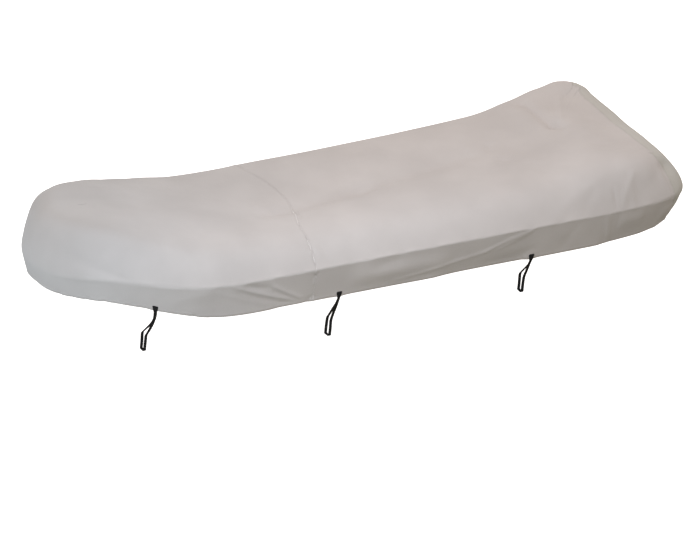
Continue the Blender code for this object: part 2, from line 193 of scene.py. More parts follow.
def cloth_place(side, run, row):
    """Where a point of the smooth cloth lies, in the part's own frame."""
    place = smooth_cut(run, row) * [1, side, 1]
    by_seam = np.exp(-((run - CROSS_RUN) / SKEW_REACH) ** 2)
    place[..., 0] += SEAM_SKEW * by_seam * place[..., 1] / EDGE["half"].max() - HOLD_AFT
    place[..., 2] -= HOLD_HIGH
    return place


# ---- The folds ----
# Soft ridges, and troughs where lift is negative, each from an end a to an end b. run is the length
# along the crease from the stem. over is the length of cloth from the port hem: 1 on the centre line
# and 2 at the starboard hem. arch: how far the fold's middle lies off the straight line. wide: from
# its middle to its foot. crisp: 0 is round, 1 pinched. lean: above 0 the flank past it is steeper.
# A row that ends early is a round fold, or one that leans neither way.
Fold = namedtuple("Fold", "run_a over_a run_b over_b arch lift wide crisp lean", defaults=(0.0, 0.0))
FOLDS = [Fold(*row) for row in (
    # the port band, a fan drawn down to the middle tie
    (1.32, 0.226, 1.81, 0.034, -0.008, 0.0084, 0.014, 0.6, 0.3),
    (1.38, 0.186, 1.78, 0.020, -0.012, -0.005, 0.017, 0.1),
    (1.42, 0.210, 1.62, 0.160, -0.004, -0.006, 0.018, 0.2),
    (1.60, 0.190, 1.85, 0.034, -0.004, 0.0072, 0.012, 0.6, 0.3),
    (1.60, 0.160, 1.82, 0.030, -0.004, -0.0046, 0.010, 0.3),
    (1.22, 0.196, 1.62, 0.040, -0.008, 0.0022, 0.016, 0.3),
    (1.84, -0.030, 1.91, 0.060, 0, -0.004, 0.016, 0.2),
    (1.22, -0.020, 1.68, -0.020, 0, 0.009, 0.090),
    (2.24, 0.150, 2.46, 0.205, 0.004, -0.0036, 0.040),
    (2.10, 0.125, 2.76, 0.115, 0, 0.011, 0.062),
    # the port band, one long light crease up towards the stern and the slack below it
    (2.36, 0.040, 3.04, 0.136, -0.004, 0.0048, 0.012, 0.7, 0.2),
    (2.93, 0.112, 3.30, 0.232, 0.006, 0.006, 0.011, 0.7, 0.2),
    (3.02, 0.112, 3.27, 0.212, 0, 0.0044, 0.009, 0.7),
    (2.66, -0.020, 3.34, 0.030, 0.010, -0.011, 0.060),
    (3.79, 0, 3.76, 0.230, 0.004, 0.0036, 0.020, 0.4),
    (3.46, 0.020, 3.58, 0.210, 0, -0.002, 0.030),
    (3.72, -0.020, 4.12, -0.020, 0, -0.011, 0.100),
    (3.84, 0.150, 4.02, 0.140, 0, 0.006, 0.050),
    (4.12, 0.100, 4.42, 0.090, 0, 0.011, 0.055),
    # the port bow, where the strake under the cloth fades out
    (0.26, 0.246, 0.78, 0.176, -0.010, -0.006, 0.020, 0.4),
    (0.22, 0.132, 0.90, 0.190, 0.003, 0.0042, 0.011, 0.6),
    (0.92, 0.060, 1.25, 0.205, 0.010, 0.003, 0.035),
    (0.24, -0.010, 0.27, 0.024, 0, -0.004, 0.011, 0.2),
    (0.34, -0.010, 0.36, 0.018, 0, -0.005, 0.014, 0.1),
    (0.43, -0.010, 0.47, 0.030, 0, -0.0035, 0.012, 0.2),
    (0.55, -0.010, 0.56, 0.020, 0, -0.0045, 0.016, 0.1),
    (1.09, -0.010, 1.12, 0.026, 0, -0.004, 0.015, 0.2),
    # the port stern quarter
    (3.99, 0.370, 3.85, 0.230, 0.004, 0.006, 0.018, 0.5, -0.2),
    (3.82, 0.320, 3.82, 0.228, 0, -0.004, 0.010, 0.4),
    (3.94, 0.262, 4.16, 0.280, 0, -0.007, 0.045),
    (4.17, 0.320, 4.20, 0.200, 0.003, 0.004, 0.012, 0.5),
    (3.38, 0.236, 3.84, 0.400, 0.012, 0.0045, 0.028, 0.3, -0.3),
    (3.60, 0.250, 3.72, 0.330, 0, -0.003, 0.022, 0.1),
    (4.30, 0.060, 4.42, 0.380, 0, 0.005, 0.040, 0.1),
    # puckers at the cross seam
    (1.72, 0.860, 1.93, 0.800, 0, -0.010, 0.040, 0.1),
    (1.918, 0.790, 1.935, 0.655, 0.004, -0.008, 0.008, 0.6, 0.3),
    (1.908, 0.450, 1.905, 0.360, 0, -0.006, 0.007, 0.6, 0.2),
    (1.890, 0.360, 1.925, 0.300, 0, -0.006, 0.007, 0.6, 0.2),
    (1.925, 0.345, 1.965, 0.290, 0, 0.005, 0.012, 0.4),
    (1.895, 0.290, 1.915, 0.240, 0, -0.008, 0.008, 0.6, 0.2),
    (1.880, 0.212, 1.935, 0.168, 0, -0.006, 0.007, 0.6),
    (1.935, 0.212, 1.885, 0.172, 0, -0.005, 0.007, 0.6),
    (1.870, 1.470, 1.960, 1.330, 0, -0.003, 0.010, 0.4),
    # the starboard band and quarters
    (1.20, 1.750, 1.88, 2.040, 0.020, 0.006, 0.026, 0.3),
    (1.38, 1.760, 1.93, 2.010, 0.015, -0.005, 0.024),
    (2.16, 1.990, 2.70, 1.770, -0.012, 0.005, 0.026, 0.2),
    (2.72, 2.030, 3.22, 1.765, 0.010, 0.006, 0.026, 0.3),
    (3.40, 1.800, 3.86, 2.030, 0.012, 0.005, 0.030, 0.2),
    (0.25, 1.780, 1.05, 1.790, -0.020, -0.006, 0.024, 0.2),
    (3.82, 1.690, 3.98, 1.780, 0, 0.005, 0.024, 0.4),
)]

# Broader swells and hollows above the crease, placed in plan: aft of the stem and out from the centre
# line, port negative, from an end a to an end b.
Dent = namedtuple("Dent", "along_a out_a along_b out_b lift wide crisp", defaults=(0.0,))
DENTS = [Dent(*row) for row in (
    # one long hollow down the middle of the top, with two small dents near its aft end
    (1.50, -0.190, 2.14, -0.080, -0.024, 0.085),
    (2.14, -0.080, 2.90, 0.045, -0.017, 0.075, 0.1),
    (3.05, 0.070, 3.07, 0.110, -0.010, 0.040, 0.2),
    (3.05, -0.110, 3.08, -0.140, -0.011, 0.040, 0.2),
    (2.30, -0.400, 2.75, -0.340, 0.005, 0.090),
    (1.20, 0.120, 1.50, 0, -0.006, 0.110),
    (1.20, -0.660, 1.24, -0.500, 0.010, 0.240),
    # where the top has climbed to the stern, a tuck across it and a lighter peak behind
    (3.39, 0.400, 3.42, 0.120, 0.006, 0.055),
    (3.455, 0.450, 3.485, 0.100, -0.0165, 0.034, 0.3),
    (3.49, 0.100, 3.52, 0.040, -0.015, 0.044, 0.1),
    (3.69, 0.420, 3.56, 0.140, 0.009, 0.028, 0.4),
    (3.52, -0.280, 3.64, -0.100, 0.006, 0.080),
    (3.56, 0.260, 3.54, 0, 0.0065, 0.052),
    (3.74, 0.260, 3.76, -0.040, -0.0095, 0.062),
    # the starboard stern corner stands up and the port one has sunk
    (3.42, 0.560, 3.50, 0.570, 0.0077, 0.100),
    (3.62, 0.570, 3.64, 0.570, 0.017, 0.100),
    (3.76, 0.570, 3.78, 0.570, 0.0383, 0.080),
    (3.87, 0.530, 3.88, 0.520, 0.0207, 0.070),
    (3.91, 0.520, 3.92, 0.500, -0.0085, 0.040),
    (3.90, 0.050, 3.90, -0.100, -0.0048, 0.120),
    (3.88, -0.300, 3.90, -0.540, -0.0085, 0.110),
    (3.92, -0.620, 3.94, -0.660, -0.043, 0.085),
    (3.82, -0.480, 3.84, -0.640, 0.003, 0.024, 0.2),
    # the bow, held up from below, and its starboard side
    (0.20, 0.100, 0.26, 0.250, 0.014, 0.110),
    (0.12, 0.200, 0.16, 0.250, 0.0066, 0.090),
    (0.50, 0.500, 0.60, 0.520, 0.0068, 0.150),
    (0.85, 0.580, 1.00, 0.600, 0.0061, 0.160),
    (1.25, 0.600, 1.45, 0.600, -0.0065, 0.160),
)]

# Ties, the same on both sides. run: along the crease from the stem. split: below the hem, where the
# strap's two ends part. rail: height of the top of the rail it loops. lean: of its foot to the bow.
Tie = namedtuple("Tie", "run split rail lean")
TIES = (
    Tie(0.864, 0.052, -0.127, 0.022),
    Tie(2.070, 0.044, -0.192, 0.030),
    Tie(3.284, 0.036, -0.151, 0.026),
)


# A round ridge falls away like a bell. A pinched one has a narrow tip and long straight flanks.
PINCH_FLANK, PINCH_TIP = 1.7, 0.03
HEM_ROLL, HEM_ROLL_WIDE = -0.0045, 0.008     # the hem's edge curls under
TAB_MIDDLE, TAB_FLAT = 0.02, 0.045           # height of a sewn tab's middle, and the flat cloth round it
DENT_FADE = 0.4                              # rows above the crease over which the swells set in


def ridge(away, crisp):
    """Height of a ridge of height 1 at a distance from its middle, in units of its width."""
    bell = np.exp(-away ** 2)
    pinched = np.exp(-PINCH_FLANK * (np.sqrt(away ** 2 + PINCH_TIP) - math.sqrt(PINCH_TIP)))
    return bell * (1 - crisp) + pinched * crisp


def fold_shape(fold, run, over):
    """How far one fold lifts the cloth at each run and length of cloth from the port hem."""
    span = np.array([fold.run_b - fold.run_a, fold.over_b - fold.over_a])
    length = np.hypot(*span)
    off_run, off_over = run - fold.run_a, over - fold.over_a
    f = np.clip((off_run * span[0] + off_over * span[1]) / length ** 2, 0, 1)
    off_run = off_run - span[0] * f
    off_over = off_over - span[1] * f - fold.arch * 4 * f * (1 - f)
    past = (span[0] * off_over - span[1] * off_run) / length
    away = np.hypot(off_run, off_over) / (fold.wide * (1 - fold.lean * np.tanh(past / fold.wide)))
    return fold.lift * ridge(away, fold.crisp) * (1 - (2 * f - 1) ** 4)


def fold_lift(side, run, girth):
    """How far the folds lift one side's cloth. It lies flat where a tab is sewn on."""
    over = girth if side == PORT else 2 * HALF_GIRTH - girth
    rolled_under = HEM_ROLL * np.exp(-(girth / HEM_ROLL_WIDE) ** 2)
    lift = rolled_under + sum(fold_shape(fold, run, over) for fold in FOLDS)
    for tie in TIES:
        from_tab = np.hypot(run - tie.run, girth - TAB_MIDDLE)
        lift = lift * (1 - np.exp(-(from_tab / TAB_FLAT) ** 4))
    return lift


def dent_lift(place, row):
    """How far the swells and hollows lift points of the cloth above the crease."""
    along, out = place[..., 0] + HOLD_AFT, place[..., 1]
    lift = 0
    for dent in DENTS:
        span = np.array([dent.along_b - dent.along_a, dent.out_b - dent.out_a])
        off_along, off_out = along - dent.along_a, out - dent.out_a
        f = np.clip((off_along * span[0] + off_out * span[1]) / (span @ span), 0, 1)
        away = np.hypot(off_along - span[0] * f, off_out - span[1] * f) / dent.wide
        lift = lift + dent.lift * ridge(away, dent.crisp)
    above = np.clip((row - 1.0) / DENT_FADE, 0, 1)
    return lift * above * above * (3 - 2 * above)


# ---- The three panels of cloth ----
# A bow panel, a main panel and a stern panel of one canvas, joined by flat seams that stand a little
# proud and pucker. The hem is turned under and doubled. Each panel is one thin sheet.
CLOTH, HEM_CLOTH = 0.0012, 0.0024        # thickness of one layer and of the doubled hem
HEM_WIDE, HEM_STEP = 0.024, 0.0006       # width of the hem, and how far its top edge stands proud
LAP_WIDE, LAP_HIGH = 0.0115, 0.0010      # the seam's lap, to each side of its line
GROOVE_WIDE, GROOVE_DEEP = 0.0022, 0.0010
PUCKER_WIDE, PUCKER_HIGH = 0.030, 0.0007
CREASE_WIDE, CREASE_HIGH, CREASE_WANDER = 0.0065, 0.0014, 0.0012

# The mesh: spacing of its columns, its closer rows and columns at seams and hem, and its other rows.
COLUMN = 0.0115
BESIDE_SEAM = (0.0002, 0.0018, 0.0045, 0.0080, 0.0105, 0.0130, 0.0180)
BESIDE_HEM = (0.0000, 0.0012, 0.0045, 0.0100, 0.0160, 0.0215, 0.0245, 0.0275, 0.0340)
BAND_ROWS, BEND_ROWS, TUBE_ROWS, TOP_ROWS = 17, 7, 20, 31


def column_runs():
    """Runs along the crease of the columns of points, closer beside a seam that crosses them."""
    runs = np.linspace(0, END_RUN, round(END_RUN / COLUMN) + 1)
    for seam in (CROSS_RUN, CORNER_RUN):
        runs = runs[abs(runs - seam) > BESIDE_SEAM[-1] + COLUMN / 2]
        runs = np.concatenate([runs, [seam + sign * step for step in BESIDE_SEAM for sign in (-1, 1)]])
    return np.sort(runs)


def side_rows(runs):
    """Row places of the points of one side in each column, closer at the hem, crease and crest."""
    run = runs[:, None]
    band, tube, top, soft = band_length(run), tube_length(run), top_length(run), edge("soft", run)
    beside = np.array(BESIDE_SEAM)
    hem = np.array(BESIDE_HEM) / band
    low_bend, high_bend = 1 - soft / band, 1 + soft / tube
    under_crest, over_crest = 2 - beside[::-1] / tube, 2 + beside / top
    plain_band = hem[:, -1:] + (low_bend - hem[:, -1:]) * np.arange(1, BAND_ROWS) / BAND_ROWS
    bend = low_bend + (high_bend - low_bend) * np.arange(BEND_ROWS + 1) / BEND_ROWS
    plain_tube = high_bend + (under_crest[:, :1] - high_bend) * np.arange(1, TUBE_ROWS) / TUBE_ROWS
    plain_top = over_crest[:, -1:] + (3 - over_crest[:, -1:]) * np.arange(1, TOP_ROWS + 1) / TOP_ROWS
    return np.concatenate([hem, plain_band, bend, plain_tube, under_crest, over_crest, plain_top], axis=1)


def both_sides(port, starboard):
    """One grid from the port hem to the starboard hem, with the centre line's points once."""
    return np.concatenate([port, starboard[:, -2::-1]], axis=1)


runs = column_runs()
rows = side_rows(runs)
side_count = rows.shape[1]
girths = girth_at(runs[:, None], rows)
grid = both_sides(*[cloth_place(side, runs[:, None], rows) for side in SIDES])
grid_lift = both_sides(*[fold_lift(side, runs[:, None], girths) for side in SIDES])
grid_rows = both_sides(rows, rows)
grid_runs = np.repeat(runs[:, None], grid_rows.shape[1], axis=1)

# The first and last columns lie on the centre line, where the two sides share their points.
number = np.arange(grid_rows.size).reshape(grid_rows.shape)
for column in (0, -1):
    number[column, side_count:] = number[column, side_count - 2::-1]
corners = np.stack([number[:-1, :-1], number[1:, :-1], number[1:, 1:], number[:-1, 1:]], axis=-1)


def point_normals(points):
    """Unit normals of the whole cloth, weighed by the area of the faces round each point."""
    total = np.zeros_like(points)
    faces = corners.reshape(-1, 4)
    a, b, c, d = [points[faces[:, k]] for k in range(4)]
    across = np.cross(c - a, d - b)
    for k in range(4):
        np.add.at(total, faces[:, k], across)
    return total / np.maximum(np.linalg.norm(total, axis=1), 1e-12)[:, None]


def seam_distance():
    """Distance from each point to the nearest seam, in metres, and its place along that seam."""
    to_cross = abs(grid_runs - CROSS_RUN)
    to_corner = np.where(grid_rows < 2, abs(grid_runs - CORNER_RUN), 1.0)
    per_row = np.where(grid_rows < 2, tube_length(grid_runs), top_length(grid_runs))
    to_ridge = np.where(grid_runs > CORNER_RUN, abs(grid_rows - 2) * per_row, 1.0)
    nearest = np.minimum(np.minimum(to_cross, to_corner), to_ridge)
    on_ridge = to_ridge < np.minimum(to_cross, to_corner)
    return nearest, np.where(on_ridge, grid_runs, girth_at(grid_runs, grid_rows))


def falling(at, middle, soft):
    """A smooth step from 1 down to 0."""
    return 0.5 - 0.5 * np.tanh((at - middle) / (2 * soft))


def seam_relief(away, along):
    """A lap that stands proud of the cloth, a groove on its line, and puckers beside it."""
    lap = LAP_HIGH * falling(away, LAP_WIDE, 0.0008)
    groove = -GROOVE_DEEP * np.exp(-(away / GROOVE_WIDE) ** 2)
    wave = np.sin(along * 150) + 0.8 * np.sin(along * 97 + 1.3) + 0.6 * np.sin(along * 221 + 0.4)
    puckers = PUCKER_HIGH * wave * np.exp(-(away / PUCKER_WIDE) ** 1.5)
    return lap + groove + puckers


def averaged(cloth, reach):
    """Every column of points averaged along itself, over a reach of its own at every point."""
    at = lengths_along(cloth)
    share = np.gradient(at, axis=1)
    apart = (at[:, :, None] - at[:, None, :]) / reach[:, :, None]
    weights = np.exp(-apart ** 2 / 2) * share[:, None, :]
    return np.einsum("cij,cjk->cik", weights / weights.sum(axis=2, keepdims=True), cloth)


# The cloth bridges the tubes in one long curve, with no edge at the crest. It is averaged over up to
# 85 mm, most amidships, and a second pass gives back most of the height that the first one takes.
GIVEN_BACK = 0.8
slackness = np.interp(grid_runs, (0, 0.9, 1.4, 3.3, 3.9, 4.95), (0.45, 0.8, 1, 1, 0.45, 0.35))
row_reach = np.interp(grid_rows, (1.0, 1.1, 1.6, 2.1, 3.0), (0, 0.002, 0.060, 0.085, 0.060))
reach = 0.001 + slackness * row_reach
once = averaged(grid, reach)
grid = once + averaged(grid - once, reach) * GIVEN_BACK
grid_lift = grid_lift + dent_lift(grid, grid_rows)
points = grid.reshape(-1, 3)
away, along = seam_distance()
lift = grid_lift + seam_relief(away, along)
hem_up = grid_rows * band_length(grid_runs)
lift += HEM_STEP * falling(hem_up, HEM_WIDE, 0.0006)

# The crease has been pressed into the cloth as a small uneven ridge, just above the band.
below_or_above = np.where(grid_rows < 1, band_length(grid_runs), tube_length(grid_runs))
up_from_crease = (grid_rows - 1) * below_or_above
uneven = np.sin(grid_runs * 23 + np.cos(grid_runs * 7) * 2) + np.sin(grid_runs * 61 + 1) * 0.6
wander = uneven * CREASE_WANDER
pressed = np.interp(grid_runs, (0.6, 1.2, 4.1, 4.4), (0, 1, 1, 0))
lift += pressed * (CREASE_HIGH + wander) * np.exp(-((up_from_crease - 0.002) / CREASE_WIDE) ** 2)


def rumple(point, waves_to_metre, high):
    """Smooth noise at a point, with its own number of waves to the metre each way."""
    return noise.noise(Vector([at * waves for at, waves in zip(point, waves_to_metre)])) * high


# Slack cloth is never quite even: broad swells a few millimetres high, and smaller ones on them.
slack = np.array([rumple(point, (2.1, 4.0, 5.0), 0.0026) + rumple(point, (7.0, 11.0, 15.0), 0.0007)
                  for point in points])
lift = lift.reshape(-1) + slack

# At stem and stern the first and last columns fold back on themselves along the centre line, so
# the folds fade out over the last 80 mm before it.
CENTRE_FADE = 0.08
to_centre = np.minimum(grid_runs, END_RUN - grid_runs).reshape(-1)
fade = np.clip(to_centre / CENTRE_FADE, 0, 1)
steady = slack + dent_lift(points, grid_rows.reshape(-1))
lift = steady + (lift - steady) * fade * fade * (3 - 2 * fade)
outer = points + point_normals(points) * lift[:, None]
thick = np.where(grid_rows * band_length(grid_runs) < HEM_WIDE, HEM_CLOTH, CLOTH).reshape(-1, 1)
inner = outer - point_normals(outer) * thick

# Cloth coordinates in metres: along the crease, and up or down from it.
girth_so_far = lengths_along(outer.reshape(grid.shape))


def put_in(name, data):
    """An object for a mesh, a lamp or a camera, linked into the scene."""
    item = bpy.data.objects.new(name, data)
    bpy.context.scene.collection.objects.link(item)
    return item


def new_mesh(name, points, faces):
    mesh = bpy.data.meshes.new(name)
    mesh.from_pydata(points, [], faces)
    return mesh


def lay_flat(mesh, name, places):
    """Each point's place on the flat cloth, as texture coordinates."""
    layer = mesh.uv_layers.new(name=name)
    loops = np.zeros(len(mesh.loops), np.int32)
    mesh.loops.foreach_get("vertex_index", loops)
    layer.data.foreach_set("uv", places[loops].astype(np.float32).reshape(-1))


def panel_mesh(name, chosen):
    """One closed sheet over the chosen quads: the outer face, the inner face and a rim."""
    quads = corners[chosen]
    used, quads_here = np.unique(quads, return_inverse=True)
    quads_here = quads_here.reshape(-1, 4)
    below = len(used)
    starts, ends = quads_here.reshape(-1), np.roll(quads_here, -1, axis=1).reshape(-1)
    low, high = np.minimum(starts, ends), np.maximum(starts, ends)
    _, first, count = np.unique(low * below + high, return_index=True, return_counts=True)
    rim = first[count == 1]
    a, b = starts[rim], ends[rim]
    rim_quads = np.stack([b, a, a + below, b + below], axis=1)
    faces = np.concatenate([quads_here, quads_here[:, ::-1] + below, rim_quads])
    mesh = new_mesh(name, np.concatenate([outer[used], inner[used]]).tolist(), faces.tolist())
    places = np.stack([grid_runs.reshape(-1), girth_so_far.reshape(-1)], axis=1)
    lay_flat(mesh, "cloth", places[np.tile(used, 2)])
    mesh.shade_smooth()
    mesh.set_sharp_from_angle(angle=math.radians(60))
    return put_in(name, mesh)


# The bow panel ends at the cross seam. The stern panel lies below the crest, aft of the corner seams.
# The main panel has the rest. A hair's breadth is left out along each seam, so that no two panels
# share a face.
column_mid = ((runs[:-1] + runs[1:]) / 2)[:, None]
row_mid = (grid_rows[:-1, :-1] + grid_rows[:-1, 1:]) / 2
off_cross, off_corner = [abs(column_mid - seam) > BESIDE_SEAM[0] for seam in (CROSS_RUN, CORNER_RUN)]
off_crest = abs(row_mid - 2.0) > 0.001
above_crest = (row_mid > 2.0) & off_crest
below_crest = (row_mid < 2.0) & off_crest
bow_quads = (column_mid < CROSS_RUN) & off_cross & np.ones_like(above_crest)
stern_quads = (column_mid > CORNER_RUN) & off_corner & below_crest
before_corner = (column_mid < CORNER_RUN) & off_corner
main_quads = (column_mid > CROSS_RUN) & off_cross & (before_corner | above_crest)

bow = panel_mesh("bow_cloth_panel", bow_quads)
main = panel_mesh("main_cloth_panel", main_quads)
stern = panel_mesh("stern_cloth_panel", stern_quads)


def linear(code):
    """A colour given as sRGB hex, as Blender's linear values."""
    parts = [int(code[k:k + 2], 16) / 255 for k in (1, 3, 5)]
    return (*[c / 12.92 if c <= 0.04045 else ((c + 0.055) / 1.055) ** 2.4 for c in parts], 1)


def add_node(material, kind, links=(), **settings):
    """A node with its settings, and links from other nodes' outputs into its inputs."""
    node = material.node_tree.nodes.new("ShaderNode" + kind)
    for name, value in settings.items():
        if name.startswith("in_"):
            key = name[3:]
            node.inputs[int(key) if key.isdigit() else key.replace("_", " ")].default_value = value
        else:
            setattr(node, name, value)
    for socket, output in dict(links).items():
        material.node_tree.links.new(output, node.inputs[socket])
    return node


def join(material, output, node, socket):
    material.node_tree.links.new(output, node.inputs[socket])


def new_material(name):
    material = bpy.data.materials.new(name)
    material.use_nodes = True
    return material, material.node_tree.nodes["Principled BSDF"]


# Polyester canvas, a plain weave of 0.4 mm yarns under a matt water-proof coating. The eye sees a soft
# grey with faint clouds where dust has settled in, broken up by a fine grain and shallow crinkles.
# Painted shade makes it a little darker and cooler towards the bow, most to starboard. The weave is
# drawn six times coarser than it is, so that the grain is not lost between pixels.
YARN, GRAIN, CRINKLE, CLOUD = 0.0024, 0.00238, 0.0263, 0.385     # spacings as drawn
WAVE = math.pi / 10      # at scale 1 a wave texture repeats over this length, and a noise over 1 m
AFT_TO_PORT = (1.0, -0.8, 0.0)                      # the way in which painted shade gives way to painted light
PAINTED_SHADE_END, PAINTED_LIGHT_END = -2.1, 0.0              # and its ends, in metres along it
PAINTED_SHADE_TINT, PAINTED_LIGHT_TINT = (0.860, 0.912, 0.938, 1), (1.02, 1.015, 1.005, 1)    # factors on the colour: painted shade at the bow, painted light aft


def polyester_canvas(name, clean, dusty):
    material, shader = new_material(name)
    place = add_node(material, "TexCoord").outputs["Object"]
    cloth = add_node(material, "UVMap", uv_map="cloth").outputs["UV"]

    clouds = add_node(material, "TexNoise", {"Vector": place}, in_Scale=1 / CLOUD, in_Detail=6.0)
    dust = add_node(material, "MapRange", {"Value": clouds.outputs["Fac"]}, in_1=0.35, in_2=0.65)
    tone = add_node(material, "Mix", {"Factor": dust.outputs["Result"]}, data_type="RGBA",
                    in_6=linear(clean), in_7=linear(dusty))
    specks = add_node(material, "TexNoise", {"Vector": cloth}, in_Scale=1 / GRAIN, in_Detail=2.0)
    speckle = add_node(material, "MapRange", {"Value": specks.outputs["Fac"]},
                       in_1=0.3, in_2=0.7, in_3=0.93, in_4=1.06)
    grained = add_node(material, "VectorMath",
                       {0: tone.outputs[2], "Scale": speckle.outputs["Result"]}, operation="SCALE")
    # Painted shade: darker and cooler towards the bow and to starboard, a touch lighter aft and to port.
    aft = add_node(material, "VectorMath", {0: place}, operation="DOT_PRODUCT", in_1=AFT_TO_PORT)
    painted_light_share = add_node(material, "MapRange", {"Value": aft.outputs["Value"]},
                         in_1=PAINTED_SHADE_END, in_2=PAINTED_LIGHT_END)
    painted_shading = add_node(material, "Mix", {"Factor": painted_light_share.outputs["Result"]}, data_type="RGBA",
                       in_6=PAINTED_SHADE_TINT, in_7=PAINTED_LIGHT_TINT)
    colour = add_node(material, "VectorMath",
                      {0: grained.outputs["Vector"], 1: painted_shading.outputs[2]}, operation="MULTIPLY")
    join(material, colour.outputs["Vector"], shader, "Base Color")

    warp, weft = [add_node(material, "TexWave", {"Vector": cloth}, bands_direction=way,
                           in_Scale=WAVE / YARN, in_Distortion=0.6, in_Detail_Scale=2.0) for way in "XY"]
    weave = add_node(material, "Math", {0: warp.outputs["Fac"], 1: weft.outputs["Fac"]},
                     operation="MAXIMUM")
    yarns = add_node(material, "Bump", {"Height": weave.outputs["Value"]},
                     in_Strength=0.35, in_Distance=0.0002)
    crinkles = add_node(material, "TexNoise", {"Vector": cloth}, in_Scale=1 / CRINKLE,
                        in_Detail=4.0, in_Roughness=0.6, in_Distortion=0.8)
    crinkled = add_node(material, "Bump",
                        {"Height": crinkles.outputs["Fac"], "Normal": yarns.outputs["Normal"]},
                        in_Strength=0.5, in_Distance=0.0012)
    join(material, crinkled.outputs["Normal"], shader, "Normal")
    coating = add_node(material, "MapRange", {"Value": specks.outputs["Fac"]}, in_3=0.76, in_4=0.92)
    join(material, coating.outputs["Result"], shader, "Roughness")
    shader.inputs["Specular IOR Level"].default_value = 0.35
    shader.inputs["Sheen Weight"].default_value = 0.12
    shader.inputs["Sheen Roughness"].default_value = 0.5
    return material


shaped, facing = outer.reshape(grid.shape), point_normals(outer).reshape(grid.shape)


def read_off(at, knots, line):
    """Points at lengths along a line, from its own points and their lengths."""
    return np.stack([np.interp(at, knots, line[:, k]) for k in range(3)], axis=-1)


def on_cloth(side, run, girth):
    """The outer face and its direction out, at a length of cloth above or just below a side's hem."""
    column = int(np.clip(np.searchsorted(runs, run) - 1, 0, len(runs) - 2))
    share = (run - runs[column]) / (runs[column + 1] - runs[column])
    up_side = slice(0, side_count) if side == PORT else slice(None, -side_count - 1, -1)
    found = []
    for i in (column, column + 1):
        line, out = shaped[i, up_side], facing[i, up_side]
        spot = read_off(girth, girths[i], line)
        spot += (line[0] - line[4]) / np.linalg.norm(line[0] - line[4]) * max(-girth, 0)
        found.append(np.concatenate([spot, read_off(girth, girths[i], out)]))
    mixed = found[0] * (1 - share) + found[1] * share
    return mixed[:3], mixed[3:] / np.linalg.norm(mixed[3:])


# Lockstitch in grey polyester thread. The thread is drawn at 0.9 mm, twice its real thickness, and each
# stitch is a small spindle that sits in the cloth.
STITCH, MID_STITCH, STITCH_STEP = 0.0055, 0.0028, 0.007     # its length, its middle, from one to the next
THREAD_MIDDLE, THREAD_END = 0.00045, 0.00020        # half its thickness in a stitch and where it dives
STITCH_HIGH, STITCH_SUNK = 0.00025, -0.00020        # its middle over the cloth there


def stitching(name, rows_of_spots, material):
    """One mesh of every stitch along rows of (points, directions out)."""
    starts, ends, outs = [], [], []
    for spots, out in rows_of_spots:
        length = lengths_along(spots)
        at = np.arange(0.002, length[-1] - 0.006, STITCH_STEP)
        for found, line, place in ((starts, spots, at), (ends, spots, at + STITCH),
                                   (outs, out, at + MID_STITCH)):
            found.append(read_off(place, length, line))
    a, b, out = np.concatenate(starts), np.concatenate(ends), np.concatenate(outs)
    across = np.cross(b - a, out)
    across /= np.linalg.norm(across, axis=1)[:, None]
    rings = []
    for share, thick, high in ((0, THREAD_END, STITCH_SUNK), (0.25, THREAD_MIDDLE, STITCH_HIGH),
                               (0.75, THREAD_MIDDLE, STITCH_HIGH), (1, THREAD_END, STITCH_SUNK)):
        middle = a + (b - a) * share + out * high
        rings += [middle + way * thick for way in (across, out, -across, -out)]
    points = np.stack(rings, axis=1)
    one = [(3, 2, 1, 0), (12, 13, 14, 15)]
    one += [(4 * ring + k, 4 * ring + (k + 1) % 4, 4 * ring + 4 + (k + 1) % 4, 4 * ring + 4 + k)
            for ring in range(3) for k in range(4)]
    faces = (np.arange(len(a)) * 16)[:, None, None] + np.array(one)[None]
    mesh = new_mesh(name, points.reshape(-1, 3).tolist(), faces.reshape(-1, 4).tolist())
    mesh.shade_smooth()
    mesh.materials.append(material)
    item = put_in(name, mesh)
    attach(item, "root")
    return item


def as_row(found):
    """Points and directions out as two arrays, from a list of pairs."""
    return np.array([place for place, _ in found]), np.array([out for _, out in found])


def row_of_spots(spots):
    """A row along spots on the cloth given as (side, run, girth)."""
    return as_row([on_cloth(*spot) for spot in spots])


SPOT_STEP = 0.008        # between the spots that a row is drawn through
SEAM_END = 0.004         # a row stops this far from a seam
FROM_SEAM = 0.0070       # a seam has a row of stitches this far to each side
HEM_ROW = 0.0195         # height of the hem's row above its edge


def across_cover(run):
    """A row from one hem over the top to the other, from 6 mm inside both hems."""
    high = np.arange(0.006, HALF_GIRTH, SPOT_STEP)
    return row_of_spots([(PORT, run, g) for g in high] + [(STARBOARD, run, g) for g in high[::-1]])


def crest_girth(run):
    return girth_at(np.array([run]), 2.0)[0]


def up_corner(side, run):
    """A row beside a corner seam, from the hem up to the crest."""
    return row_of_spots([(side, run, g) for g in np.arange(SEAM_END, crest_girth(CORNER_RUN), SPOT_STEP)])


def along_hem(side, first, last):
    spots = np.arange(first + SEAM_END, last - SEAM_END, SPOT_STEP)
    return row_of_spots([(side, run, HEM_ROW) for run in spots])


def along_crest(side, off):
    """A row beside the ridge seam, off its line by so much cloth."""
    spots = np.arange(CORNER_RUN, END_RUN - SEAM_END, SPOT_STEP)
    return row_of_spots([(side, run, crest_girth(run) + off) for run in spots])


def plain_material(name, colour, roughness):
    """A material of one even colour, and its shader."""
    material, shader = new_material(name)
    shader.inputs["Base Color"].default_value = linear(colour)
    shader.inputs["Roughness"].default_value = roughness
    return material, shader


